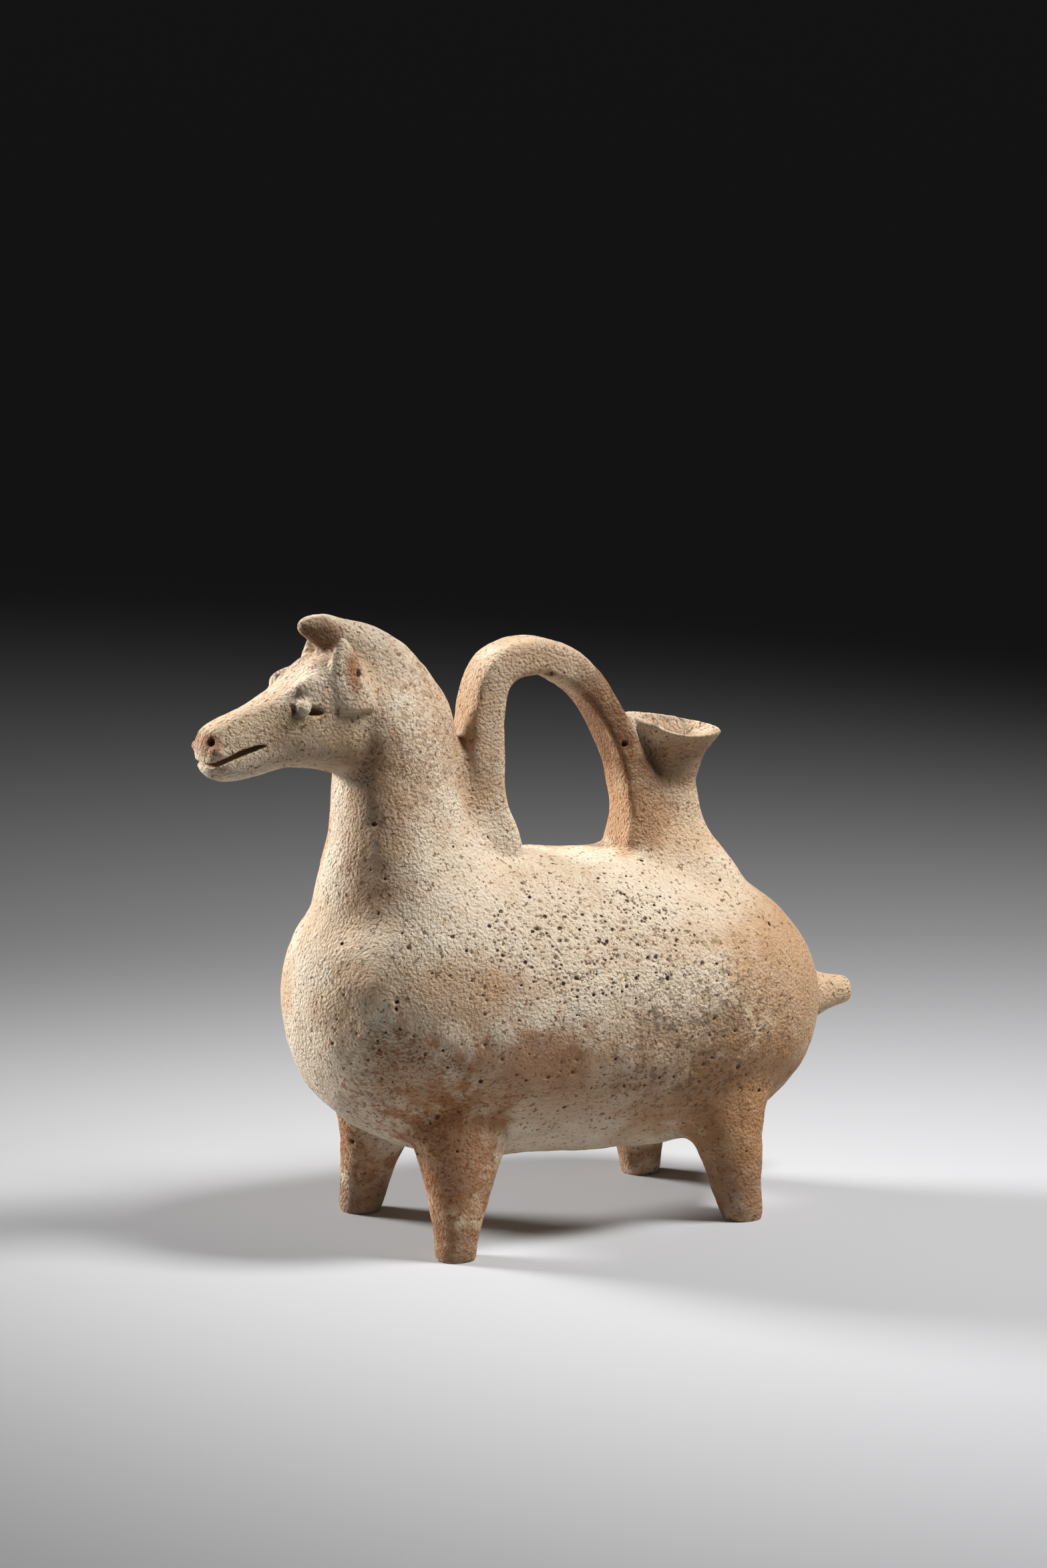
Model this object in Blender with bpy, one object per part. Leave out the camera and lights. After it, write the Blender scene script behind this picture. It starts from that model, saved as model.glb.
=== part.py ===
"""A horse-shaped rhyton: a hollow pouring vessel of coarse terracotta, made and fired as one piece.

The animal faces -X and stands on Z = 0, with the middle of its length at X = 0. Sizes are in metres.
Each form of the clay is a closed loft. The forms are fused and softened as wet clay is. Then the
eyes are pressed on, and the feet, mouth, nostrils, ears and the hollow inside are cut.
"""

import math

import bmesh
import bpy
import numpy as np
from mathutils import Matrix, Vector

# Body: a thrown barrel lying on its side, its axis lower at the tail than at the chest.
BODY_LENGTH = 0.2375
BODY_HEIGHT = 0.127
BODY_WIDTH = 0.124
BODY_SLOPE = 0.07
BELLY_CLEARANCE = 0.028

# Clay: its wall, and how finely the fused forms are meshed and softened.
WALL = 0.006
CLAY_GRAIN = 0.0019
TRUNK_ROUNDS = 34
HEAD_ROUNDS = 10
DETAIL_ROUNDS = 3
OUTSIDE_TRIANGLES = 6400

# Legs: four cones pressed on under the barrel, set in from its ends and its sides.
FRONT_LEG_INSET = 0.0495
REAR_LEG_INSET = 0.0540
LEG_SIDE_INSET = 0.0190
LEG_LEAN = 0.012
FOOT_RADIUS = 0.0092

# Tail: a short cone, cut square.
TAIL_LENGTH = 0.0222
TAIL_ROOT_RADIUS = 0.0115
TAIL_END_RADIUS = 0.0054
TAIL_DROP = 0.0028

# Filling neck: a flared mouth on the back, set in from the rump.
SPOUT_SETBACK = 0.0650
SPOUT_RISE = 0.0465
SPOUT_TILT = 0.15
THROAT_RADIUS = 0.0114
RIM_RADIUS = 0.0215
LIP_THICKNESS = 0.0042
LIP_CHIP_DEPTH = 0.0022

# Strap handle, from the back of the neck to the filling neck.
HANDLE_RISE = 0.081
STRAP_WIDTH = 0.0215
STRAP_THICKNESS = 0.0126

# Neck and head: their proportions are drawn in millimetres on a neck that rises 105 mm from the back.
NECK_SETBACK = 0.042
NECK_RISE = 0.105
DRAWN_RISE = 105.0
EYE_RADIUS = 0.0033
MOUTH_OPENING = 0.0022
NOSTRIL_RADIUS = 0.0017

DRAWN = NECK_RISE / DRAWN_RISE
MUZZLE_RUN = 83.3
BODY_Z = BELLY_CLEARANCE + BODY_HEIGHT / 2
BACK_Z = BELLY_CLEARANCE + BODY_HEIGHT
FRONT_REACH = BODY_LENGTH / 2 - NECK_SETBACK + MUZZLE_RUN * DRAWN
REAR_REACH = BODY_LENGTH / 2 + TAIL_LENGTH
BODY_X = (FRONT_REACH - REAR_REACH) / 2
CHEST_X = BODY_X - BODY_LENGTH / 2
RUMP_X = BODY_X + BODY_LENGTH / 2
NECK_X = CHEST_X + NECK_SETBACK
SPOUT_X = RUMP_X - SPOUT_SETBACK

# Neck, in level slices: rise above the back, front, back, half width, narrowing towards the mane.
NECK_SLICES = (
    (-62, -28, 40, 36, 0.0),
    (-34, -30, 50, 50, 0.0),
    (-16, -30, 52, 41, 0.0),
    (-6, -28.5, 47, 35.5, 0.04),
    (4, -26.5, 41.5, 30.5, 0.10),
    (18, -23.5, 35, 25.5, 0.20),
    (34, -22.5, 31.5, 22.5, 0.28),
    (50, -22.5, 30.5, 21.5, 0.34),
    (63, -26, 27.5, 19, 0.38),
    (72, -28, 22.5, 16, 0.36),
    (81, -28, 15.5, 11.5, 0.05),
    (89, -29.5, 7.5, 8.6, -0.10),
    (94, -35.5, 1.0, 7.2, -0.10),
    (99, -41.5, -7.5, 6.0, -0.05),
    (103.5, -41.5, -18, 4.6, 0.0),
    (106.0, -38, -27, 2.4, 0.0),
)
CREST_FOOT = 56

# Head, in upright slices from the skull to the muzzle: run forward, top, underside, half width.
HEAD_SLICES = (
    (6, 84, 40, 15),
    (16, 87, 38, 17.2),
    (26, 89.5, 40, 17.6),
    (35, 88, 42.5, 16.8),
    (42, 82.5, 44, 16),
    (48, 77.5, 44.6, 14.8),
    (54, 74.3, 44.0, 13.2),
    (60, 71.6, 42.8, 12),
    (67, 69, 41.4, 11.2),
    (73, 66.8, 40.8, 10.8),
    (78, 64.8, 41.8, 10),
    (81.5, 62.8, 44.5, 8.6),
    (83, 60.5, 47.5, 6.2),
    (MUZZLE_RUN + 0.5, 58, 51, 3),
)

# Strap, foot to foot: share of the span, share of the rise, share of its thickness, of its width.
STRAP_LINE = (
    (0.060, -0.300, 1.9, 1.5),
    (0.050, 0.040, 1.75, 1.35),
    (0.010, 0.250, 1.40, 1.1),
    (-0.005, 0.480, 1.30, 1.0),
    (-0.002, 0.700, 1.22, 1.0),
    (0.042, 0.880, 1.18, 1.0),
    (0.150, 0.975, 1.18, 1.0),
    (0.310, 1.000, 1.20, 1.0),
    (0.480, 0.960, 1.14, 1.0),
    (0.640, 0.860, 1.04, 1.0),
    (0.770, 0.710, 0.95, 1.0),
    (0.875, 0.550, 1.00, 1.0),
    (0.965, 0.360, 1.20, 1.02),
    (1.022, 0.170, 1.44, 1.06),
    (1.030, -0.010, 1.85, 1.25),
    (1.030, -0.250, 2.00, 1.50),
)

# Pouring channel, from the chamber to the mouth: run, rise, half size along the head, half width.
CHANNEL_LINE = (
    (-10, -34, 26, 26),
    (-10, -12, 23, 22),
    (-8, 8, 19.5, 17),
    (-5, 26, 16, 14),
    (-1, 40, 12, 11),
    (8, 52, 8, 8),
    (22, 59, 5, 5),
    (40, 59, 3, 3.5),
    (58, 56, 1.8, 3),
    (72, 52.5, 1.3, 3),
)

CLAY_COLOUR = (0.52, 0.36, 0.24, 1.0)


def smooth_table(rows, count):
    """The rows of a table read along a smooth curve, `count` of them, with both ends kept."""
    rows = np.array(rows, float)
    padded = np.vstack([2 * rows[0] - rows[1], rows, 2 * rows[-1] - rows[-2]])
    spans = len(rows) - 1
    read = []
    for step in np.linspace(0, spans, count):
        span = min(int(step), spans - 1)
        t = step - span
        before, start, end, after = padded[span : span + 4]
        slope = (end - before) * t
        bend = (2 * before - 5 * start + 4 * end - after) * t**2
        twist = (3 * start - before - 3 * end + after) * t**3
        read.append(start + 0.5 * (slope + bend + twist))
    return read


def loft(name, rings):
    """A closed mesh object through rings of equally many points, with flat ends."""
    mesh = bmesh.new()
    rows = [[mesh.verts.new(point) for point in ring] for ring in rings]
    around = len(rows[0])
    for lower, upper in zip(rows, rows[1:]):
        for i in range(around):
            j = (i + 1) % around
            mesh.faces.new((lower[i], lower[j], upper[j], upper[i]))
    mesh.faces.new(rows[0][::-1])
    mesh.faces.new(rows[-1])
    bmesh.ops.recalc_face_normals(mesh, faces=mesh.faces)
    data = bpy.data.meshes.new(name)
    mesh.to_mesh(data)
    mesh.free()
    made = bpy.data.objects.new(name, data)
    bpy.context.scene.collection.objects.link(made)
    return made


def outline(points, half_a, half_b, squareness=2.0):
    """Points round a closed outline with these half sizes. A squareness of 2 gives an ellipse."""
    power = 2.0 / squareness
    turn = np.linspace(0, 2 * math.pi, points, endpoint=False)
    across = np.sign(np.cos(turn)) * np.abs(np.cos(turn)) ** power * half_a
    along = np.sign(np.sin(turn)) * np.abs(np.sin(turn)) ** power * half_b
    return np.stack([across, along], 1)


def egg(name, centre, radii, turn, points=24):
    """An egg with half sizes along its own X, Y and Z, set at a centre by a rotation."""
    rings = []
    for angle in np.linspace(0.12, math.pi - 0.12, points // 2):
        share = math.sin(angle)
        height = radii[2] * math.cos(angle)
        ring = outline(points, radii[0] * share, radii[1] * share)
        rings.append([centre + turn @ Vector((x, y, height)) for x, y in ring])
    return loft(name, rings)


def swept(name, line, points, squareness):
    """A section swept along a line in the middle plane: x, z, half thickness, half width."""
    rings = []
    for i, (x, z, half_thick, half_wide) in enumerate(line):
        before = line[max(i - 1, 0)]
        after = line[min(i + 1, len(line) - 1)]
        along = Vector((after[0] - before[0], 0, after[1] - before[1])).normalized()
        outward = Vector((-along.z, 0, along.x))
        section = outline(points, half_wide, half_thick, squareness)
        rings.append([Vector((x, across, z)) + outward * out for across, out in section])
    return loft(name, rings)


def barrel_share(t):
    """The barrel's radius as a share of its largest, at t from -1 at the chest to 1 at the rump."""
    fullness = 3.8 if t < 0 else 2.8
    return max(1 - abs(t) ** fullness, 0.0) ** 0.47


def barrel_axis_z(x):
    return BODY_Z - BODY_SLOPE * (x - BODY_X)


def barrel(name, inset, rings_along, points):
    """The barrel, or with an inset the chamber inside it."""
    rings = []
    for angle in np.linspace(math.radians(2), math.radians(178), rings_along):
        t = -math.cos(angle)
        x = BODY_X + (BODY_LENGTH / 2 - inset) * t
        share = barrel_share(t)
        half_width = (BODY_WIDTH / 2 - inset) * share
        half_height = (BODY_HEIGHT / 2 - inset) * share
        rings.append([(x, y, barrel_axis_z(x) + z) for y, z in outline(points, half_width, half_height)])
    return loft(name, rings)


def leg(name, foot_x, side):
    """A cone from below the ground up into the barrel, leaning in towards the body's middle."""
    towards_middle = math.copysign(LEG_LEAN, BODY_X - foot_x)
    foot_y = side * (BODY_WIDTH / 2 - LEG_SIDE_INSET)
    foot = Vector((foot_x, foot_y, 0.0))
    hip = Vector((foot_x + towards_middle, foot_y - side * 1.3 * LEG_LEAN, BODY_Z))
    flare = (
        (-0.06, 0.96, 0.96),
        (0.02, 1.00, 1.00),
        (0.08, 1.08, 1.08),
        (0.20, 1.30, 1.27),
        (0.32, 1.58, 1.46),
        (0.43, 1.92, 1.65),
        (0.54, 2.35, 1.82),
        (0.66, 2.60, 1.95),
        (0.80, 2.40, 1.95),
    )
    rings = []
    for share, along, across in smooth_table(flare, 26):
        centre = foot.lerp(hip, share)
        section = outline(36, FOOT_RADIUS * along, FOOT_RADIUS * across)
        rings.append([(centre.x + x, centre.y + y, centre.z) for x, y in section])
    return loft(name, rings)


def tail():
    """A short blunt cone that flares into the rump."""
    root_x = RUMP_X - 2.4 * TAIL_ROOT_RADIUS
    end_x = RUMP_X + TAIL_LENGTH
    z = barrel_axis_z(RUMP_X) - TAIL_DROP
    profile = (
        (0.00, 2.30),
        (0.30, 1.75),
        (0.48, 1.25),
        (0.58, 1.00),
        (0.70, 0.82),
        (0.85, 0.62),
        (1.00, TAIL_END_RADIUS / TAIL_ROOT_RADIUS),
    )
    rings = []
    for share, swell in smooth_table(profile, 24):
        x = root_x + (end_x - root_x) * share
        radius = TAIL_ROOT_RADIUS * swell
        rings.append([(x, y, z + up) for y, up in outline(32, radius, radius)])
    return loft("tail", rings)


def spout_profile():
    """Share of the filling neck's rise, and its outer radius, from inside the barrel to the rim."""
    flare = RIM_RADIUS - THROAT_RADIUS
    return smooth_table(
        (
            (-0.75, 2.80 * THROAT_RADIUS),
            (-0.42, 2.70 * THROAT_RADIUS),
            (-0.22, 2.30 * THROAT_RADIUS),
            (-0.06, 1.80 * THROAT_RADIUS),
            (0.08, 1.36 * THROAT_RADIUS),
            (0.26, 1.12 * THROAT_RADIUS),
            (0.48, THROAT_RADIUS),
            (0.66, THROAT_RADIUS + 0.08 * flare),
            (0.80, THROAT_RADIUS + 0.32 * flare),
            (0.91, THROAT_RADIUS + 0.70 * flare),
            (1.00, RIM_RADIUS),
        ),
        40,
    )


def spout_ring(share, radius, points):
    """A level ring low down, tipping up towards the handle as it nears the rim."""
    tip = SPOUT_TILT * max(share, 0.0) ** 2
    z = BACK_Z + share * SPOUT_RISE
    return [(SPOUT_X + x, y, z - tip * x) for x, y in outline(points, radius, radius)]


def throat():
    """The root of the filling neck, up to where its cup is joined on."""
    rings = [spout_ring(share, radius, 40) for share, radius in spout_profile() if share < 0.62]
    return loft("throat", rings)


def filling_cup():
    """The flared upper part of the filling neck, its foot pinched so that it sinks into the throat."""
    rings = []
    for share, radius in spout_profile()[::2]:
        if share > 0.2:
            pinch = 1.3 * LIP_THICKNESS * max(0.62 - share, 0.0)
            rings.append(spout_ring(share, radius - pinch, 32))
    rings.append(spout_ring(1.00, RIM_RADIUS, 32))
    rings.append(spout_ring(1.04, RIM_RADIUS - 0.45 * LIP_THICKNESS, 32))
    return loft("filling_cup", rings)


def spout_bore(points):
    """The hollow of the filling neck: a funnel and a throat that opens into the chamber."""
    bore = THROAT_RADIUS - LIP_THICKNESS
    rings = [spout_ring(-0.25 * BODY_HEIGHT / SPOUT_RISE, bore, points)]
    for share, radius in spout_profile()[::3]:
        if share > 0.30:
            rings.append(spout_ring(share, max(radius - LIP_THICKNESS, bore), points))
    rings.append(spout_ring(1.03, RIM_RADIUS - 0.85 * LIP_THICKNESS, points))
    rings.append(spout_ring(1.30, RIM_RADIUS, points))
    return loft("spout_bore", rings)


def lip_chip():
    """Where the lip broke away, on the left side."""
    reach = Vector((0.62 * RIM_RADIUS, 0.30 * RIM_RADIUS, LIP_CHIP_DEPTH))
    centre = Vector((SPOUT_X - 0.20 * RIM_RADIUS, -1.04 * RIM_RADIUS, BACK_Z + 1.06 * SPOUT_RISE))
    return egg("lip_chip", centre, reach, Matrix.Rotation(SPOUT_TILT, 3, "Y"), 14)


def neck(name, lowest, highest):
    """The neck between two rises: round at the throat and pinched thin along the top."""
    rings = []
    for rise, front, back, half_width, narrowing in smooth_table(NECK_SLICES, 80):
        if not lowest <= rise <= highest:
            continue
        middle = (front + back) / 2
        half_length = (back - front) / 2
        ring = []
        for along, across in outline(48, half_length, half_width):
            side = across * (1 - narrowing * along / half_length)
            ring.append((NECK_X + (middle + along) * DRAWN, side * DRAWN, BACK_Z + rise * DRAWN))
        rings.append(ring)
    return loft(name, rings)


def on_head(run, side, rise):
    """A point drawn as the head's slices are: run forward of the neck, out to a side, and up."""
    return Vector((NECK_X - run * DRAWN, side * DRAWN, BACK_Z + rise * DRAWN))


def head():
    rings = []
    for run, top, underside, half_width in smooth_table(HEAD_SLICES, 60):
        middle = (top + underside) / 2
        half_height = (top - underside) / 2
        section = outline(40, half_width, half_height, 2.25)
        rings.append([on_head(run, across, middle + up) for across, up in section])
    return loft("head", rings)


def ear(name, side):
    """A pinched leaf of clay on the side of the skull, leaning out and forward."""
    base = on_head(19.5, side * 13.0, 70)
    tip = on_head(26.0, side * 12.5, 98.8)
    swells = ((0.0, 1.50), (0.3, 1.32), (0.55, 1.02), (0.76, 0.70), (0.91, 0.42), (1.0, 0.16))
    rings = []
    for share, swell in smooth_table(swells, 16):
        centre = base.lerp(tip, share)
        section = outline(28, 7.8 * swell * DRAWN, 4.8 * swell * DRAWN)
        rings.append([(centre.x + x, centre.y + y, centre.z) for x, y in section])
    return loft(name, rings)


def ear_hollow(name, side):
    """The cup pressed into the outer face of an ear."""
    radii = Vector((2.7, 4.0, 8.2)) * DRAWN
    lean = Matrix.Rotation(math.radians(-12), 3, "Y") @ Matrix.Rotation(side * math.radians(4), 3, "X")
    return egg(name, on_head(22.8, side * 18.2, 87.5), radii, lean, 14)


def brow(name, side):
    """The ridge over an eye."""
    radii = Vector((7.6, 4.8, 4.8)) * DRAWN
    lean = Matrix.Rotation(math.radians(-16), 3, "Y")
    return egg(name, on_head(40.5, side * 10.4, 78.6), radii, lean, 24)


def nostril_wing(name, side):
    """The flared rim behind and below a nostril."""
    radii = Vector((4.0, 3.0, 2.8)) * DRAWN
    return egg(name, on_head(79.2, side * 8.2, 54.6), radii, Matrix.Identity(3), 20)


def nostril(name, side):
    """The pit of a nostril."""
    pit = Vector((1, 2.5, 1)) * NOSTRIL_RADIUS
    outwards = Matrix.Rotation(side * math.radians(42), 3, "Z")
    return egg(name, on_head(82.4, side * 7.8, 58.0), pit, outwards, 12)


def eye(name, side):
    """A pellet of clay pressed on the side of the head."""
    pellet = Vector((1, 0.8, 1)) * EYE_RADIUS
    return egg(name, on_head(46.6, side * 13.6, 71.4), pellet, Matrix.Identity(3), 12)


def mouth():
    """The slit across the muzzle, climbing towards the cheeks."""
    line = ((96, 46, 1.9), (84, 48, 1.1), (77, 50.4, 1.3), (70, 53, 1.6), (64, 54.8, 1.3), (58.5, 56, 0.4))
    stations = []
    for run, rise, share in line:
        point = on_head(run, 0, rise)
        stations.append((point.x, point.z, MOUTH_OPENING / 2 * share, 16 * DRAWN))
    return swept("mouth_cut", stations, 12, 2.0)


def handle():
    """The strap, thicker at both feet."""
    front_x = NECK_X + 28.5 * DRAWN + STRAP_THICKNESS
    rear_x = SPOUT_X - THROAT_RADIUS - 0.45 * STRAP_THICKNESS
    line = []
    for along, up, thick, wide in smooth_table(STRAP_LINE, 76):
        x = front_x + along * (rear_x - front_x)
        half_thick = STRAP_THICKNESS / 2 * thick
        line.append((x, BACK_Z + up * HANDLE_RISE, half_thick, STRAP_WIDTH / 2 * wide))
    return swept("handle", line, 36, 3.6)


def web(name, centre_x, top_share, width_share):
    """Clay pressed in beside a foot of the strap, so that it grows out of the back."""
    rings = []
    for up, swell in smooth_table(((-0.25, 1.9), (0.05, 1.35), (0.5, 1.05), (0.85, 0.85), (1.0, 0.5)), 16):
        z = BACK_Z + up * top_share * HANDLE_RISE
        section = outline(28, STRAP_THICKNESS * 0.75 * swell, STRAP_WIDTH * width_share * swell)
        rings.append([(centre_x + x, y, z) for x, y in section])
    return loft(name, rings)


def pouring_channel():
    """The hollow of the neck and head, from the chamber to the mouth."""
    stations = []
    for run, rise, half_thick, half_wide in smooth_table(CHANNEL_LINE, 16):
        point = on_head(run, 0, rise)
        stations.append((point.x, point.z, half_thick * DRAWN, half_wide * DRAWN))
    return swept("pouring_channel", stations, 14, 2.0)


def box(name, low, high):
    """A cutter box between two corners."""
    mesh = bmesh.new()
    bmesh.ops.create_cube(mesh, size=1.0)
    for vert in mesh.verts:
        vert.co = [low[i] if vert.co[i] < 0 else high[i] for i in range(3)]
    data = bpy.data.meshes.new(name)
    mesh.to_mesh(data)
    mesh.free()
    made = bpy.data.objects.new(name, data)
    bpy.context.scene.collection.objects.link(made)
    return made


def fused(name, forms, rounds):
    """One object that holds every form, fused to one skin and softened for some rounds."""
    whole = bmesh.new()
    for form in forms:
        whole.from_mesh(form.data)
        bpy.data.objects.remove(form)
    data = bpy.data.meshes.new(name)
    whole.to_mesh(data)
    whole.free()
    clay = bpy.data.objects.new(name, data)
    bpy.context.scene.collection.objects.link(clay)
    remesh = clay.modifiers.new("fusing", "REMESH")
    remesh.mode = "VOXEL"
    remesh.voxel_size = CLAY_GRAIN
    smooth = clay.modifiers.new("softening", "SMOOTH")
    smooth.factor = 0.5
    smooth.iterations = rounds
    return clay


def settled(clay):
    """The object, with what its modifiers made as its own mesh."""
    graph = bpy.context.evaluated_depsgraph_get()
    data = bpy.data.meshes.new_from_object(clay.evaluated_get(graph))
    clay.modifiers.clear()
    clay.data = data
    return clay


def shaped(clay, tool, operation):
    """The clay cut by a tool, or with a pressed-on form added to it."""
    tool.hide_render = True
    tool.display_type = "WIRE"
    step = clay.modifiers.new(tool.name, "BOOLEAN")
    step.operation = operation
    step.object = tool


def fired_clay():
    """Coarse buff terracotta, dull and pale."""
    material = bpy.data.materials.new("terracotta")
    material.use_nodes = True
    shader = material.node_tree.nodes["Principled BSDF"]
    shader.inputs["Base Color"].default_value = CLAY_COLOUR
    shader.inputs["Roughness"].default_value = 0.93
    shader.inputs["Metallic"].default_value = 0.0
    material.diffuse_color = CLAY_COLOUR
    return material


def main():
    for existing in list(bpy.data.objects):
        bpy.data.objects.remove(existing)
    sides = (("left", -1), ("right", 1))
    trunk = [barrel("barrel", 0.0, 60, 56), neck("neck", -62, 77), throat()]
    trunk.append(web("front_web", NECK_X + 37 * DRAWN, 0.60, 0.53))
    trunk.append(web("rear_web", SPOUT_X - THROAT_RADIUS, 0.38, 0.44))
    details = [handle()]
    for word, side in sides:
        trunk.append(leg(f"front_leg_{word}", CHEST_X + FRONT_LEG_INSET, side))
        trunk.append(leg(f"rear_leg_{word}", RUMP_X - REAR_LEG_INSET, side))
        details += [ear(f"ear_{word}", side), brow(f"brow_{word}", side)]
        details.append(nostril_wing(f"nostril_wing_{word}", side))
    clay = settled(fused("trunk", trunk, TRUNK_ROUNDS))
    clay = settled(fused("figure", [clay, head(), neck("crest", CREST_FOOT, 110), tail()], HEAD_ROUNDS))
    clay = settled(fused("rhyton", [clay] + details, DETAIL_ROUNDS))
    thin = clay.modifiers.new("thinning", "DECIMATE")
    thin.ratio = min(1.0, OUTSIDE_TRIANGLES / (2 * len(clay.data.polygons)))

    shaped(clay, filling_cup(), "UNION")
    for word, side in sides:
        shaped(clay, eye(f"eye_{word}", side), "UNION")
        shaped(clay, ear_hollow(f"ear_hollow_{word}", side), "DIFFERENCE")
        shaped(clay, nostril(f"nostril_{word}", side), "DIFFERENCE")
    reach = BODY_LENGTH
    ground = box("ground_cut", (-reach, -reach, -BODY_HEIGHT), (reach, reach, 0.0))
    shaped(clay, ground, "DIFFERENCE")
    shaped(clay, mouth(), "DIFFERENCE")
    shaped(clay, barrel("chamber", WALL, 18, 24), "DIFFERENCE")
    shaped(clay, pouring_channel(), "DIFFERENCE")
    shaped(clay, spout_bore(24), "DIFFERENCE")
    shaped(clay, lip_chip(), "DIFFERENCE")
    clay.data.materials.append(fired_clay())
    clay.data.shade_smooth()


main()
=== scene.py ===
import math

import bmesh
import bpy
import numpy as np
from mathutils import Matrix, Vector


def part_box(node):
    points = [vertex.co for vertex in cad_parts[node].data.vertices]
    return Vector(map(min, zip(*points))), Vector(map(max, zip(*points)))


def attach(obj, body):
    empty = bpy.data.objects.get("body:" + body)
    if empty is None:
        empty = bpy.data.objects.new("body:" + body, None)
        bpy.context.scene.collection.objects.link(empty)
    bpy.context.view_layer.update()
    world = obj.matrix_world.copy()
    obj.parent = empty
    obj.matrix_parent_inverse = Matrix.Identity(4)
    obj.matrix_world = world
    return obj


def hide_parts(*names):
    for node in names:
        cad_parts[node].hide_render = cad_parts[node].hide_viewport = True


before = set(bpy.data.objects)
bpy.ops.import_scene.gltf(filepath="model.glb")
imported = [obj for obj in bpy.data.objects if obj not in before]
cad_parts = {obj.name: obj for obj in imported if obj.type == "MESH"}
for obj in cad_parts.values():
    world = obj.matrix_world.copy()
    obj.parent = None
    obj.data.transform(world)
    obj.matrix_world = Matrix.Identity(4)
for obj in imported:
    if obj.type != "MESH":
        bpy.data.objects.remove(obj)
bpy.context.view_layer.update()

# The body is a pot of coarse clay, thrown upright, closed, and laid on its side once it was firm.
# It is fullest behind the shoulder, and its axis drops a little towards the tail. Here and below,
# the vessel is drawn in millimetres, X from its middle and Z from the ground, 260.5 mm high.
DRAWN_HEIGHT = 260.5
BODY_X, BODY_Z = 9.55, 91.5
BODY_LENGTH, BODY_WIDTH, BODY_HEIGHT = 237.5, 124.0, 127.0
BODY_SLOPE = 0.07

lowest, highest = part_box("rhyton")
MM = (highest[2] - lowest[2]) / DRAWN_HEIGHT
GROUND_MIDDLE = Vector(((lowest[0] + highest[0]) / 2, (lowest[1] + highest[1]) / 2, lowest[2]))
BACK_Z = BODY_Z + BODY_HEIGHT / 2
CHEST_X, RUMP_X = BODY_X - BODY_LENGTH / 2, BODY_X + BODY_LENGTH / 2


def smooth_table(rows, count):
    """The rows of a table read along a smooth curve, `count` of them, with both ends kept."""
    rows = np.array(rows, float)
    padded = np.vstack([2 * rows[0] - rows[1], rows, 2 * rows[-1] - rows[-2]])
    spans = len(rows) - 1
    read = []
    for step in np.linspace(0, spans, count):
        span = min(int(step), spans - 1)
        t = step - span
        before, start, end, after = padded[span : span + 4]
        slope = (end - before) * t
        bend = (2 * before - 5 * start + 4 * end - after) * t**2
        twist = (3 * start - before - 3 * end + after) * t**3
        read.append(start + 0.5 * (slope + bend + twist))
    return read


def outline(points, half_a, half_b, squareness=2.0):
    """Points round a closed outline with these half sizes. A squareness of 2 gives an ellipse."""
    power = 2.0 / squareness
    turn = np.linspace(0, 2 * math.pi, points, endpoint=False)
    across = np.sign(np.cos(turn)) * np.abs(np.cos(turn)) ** power * half_a
    along = np.sign(np.sin(turn)) * np.abs(np.sin(turn)) ** power * half_b
    return np.stack([across, along], 1)


def lofted(name, rings):
    """A closed form through rings of equally many drawn points, with flat ends."""
    mesh = bmesh.new()
    rows = [[mesh.verts.new(GROUND_MIDDLE + Vector(point) * MM) for point in ring] for ring in rings]
    around = len(rows[0])
    for lower, upper in zip(rows, rows[1:]):
        for i in range(around):
            j = (i + 1) % around
            mesh.faces.new((lower[i], lower[j], upper[j], upper[i]))
    mesh.faces.new(rows[0][::-1])
    mesh.faces.new(rows[-1])
    bmesh.ops.recalc_face_normals(mesh, faces=mesh.faces)
    data = bpy.data.meshes.new(name)
    mesh.to_mesh(data)
    mesh.free()
    form = bpy.data.objects.new(name, data)
    bpy.context.scene.collection.objects.link(form)
    return form


def barrel_share(t):
    """The barrel's radius as a share of its largest, at t from -1 at the chest to 1 at the rump."""
    fullness = 3.8 if t < 0 else 2.8
    return max(1 - abs(t) ** fullness, 0.0) ** 0.47


def barrel(name, inset, rings_along, points):
    """The barrel, or with an inset the chamber inside it."""
    rings = []
    for angle in np.linspace(math.radians(2), math.radians(178), rings_along):
        t = -math.cos(angle)
        along = (BODY_LENGTH / 2 - inset) * t
        share = barrel_share(t)
        section = outline(points, (BODY_WIDTH / 2 - inset) * share, (BODY_HEIGHT / 2 - inset) * share)
        rings.append([(BODY_X + along, y, BODY_Z - BODY_SLOPE * along + z) for y, z in section])
    return lofted(name, rings)


trunk_forms = [barrel("barrel", 0.0, 90, 84)]


# The legs are four cones of clay luted under the barrel. Each flares into the belly, leans in
# towards the body's middle and is worn flat where it stands.
FRONT_LEG_X, REAR_LEG_X = CHEST_X + 49.5, RUMP_X - 54.0
FOOT_Y = BODY_WIDTH / 2 - 19.0
LEG_LEAN = 12.0
FOOT_RADIUS = 9.2
LEG_FLARE = (
    (-0.06, 0.96, 0.96),
    (0.02, 1.00, 1.00),
    (0.08, 1.08, 1.08),
    (0.20, 1.30, 1.27),
    (0.32, 1.58, 1.46),
    (0.43, 1.92, 1.65),
    (0.54, 2.35, 1.82),
    (0.66, 2.60, 1.95),
    (0.80, 2.40, 1.95),
)

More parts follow.
